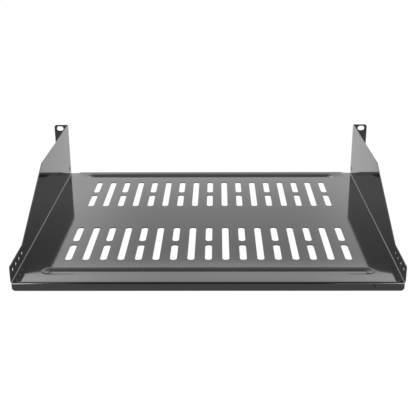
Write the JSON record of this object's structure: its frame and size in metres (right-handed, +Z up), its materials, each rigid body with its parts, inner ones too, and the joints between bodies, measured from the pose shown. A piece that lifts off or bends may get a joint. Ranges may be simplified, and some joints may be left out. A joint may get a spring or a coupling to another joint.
{
  "type": "cantilever rack shelf",
  "caption": "Two-unit vented cantilever shelf for a nineteen-inch rack, folded from black painted steel sheet, with ears, tapered side walls, stiffening beads and slots.",
  "frame": {"origin": "centre of the four rack slots in the ears, on the ears' rear face, which touches the rack rails", "axes": "+X across the rack to the right seen from the shelf's free end, +Y out of the rack's front, away from the tray, and +Z up"},
  "size_m": [0.4826, 0.4064, 0.0876],
  "materials": {
    "black_paint": "semi-gloss black powder coat on steel sheet"
  },
  "bodies": {
    "root": {"shelf": "black_paint"}
  },
  "joints": []
}
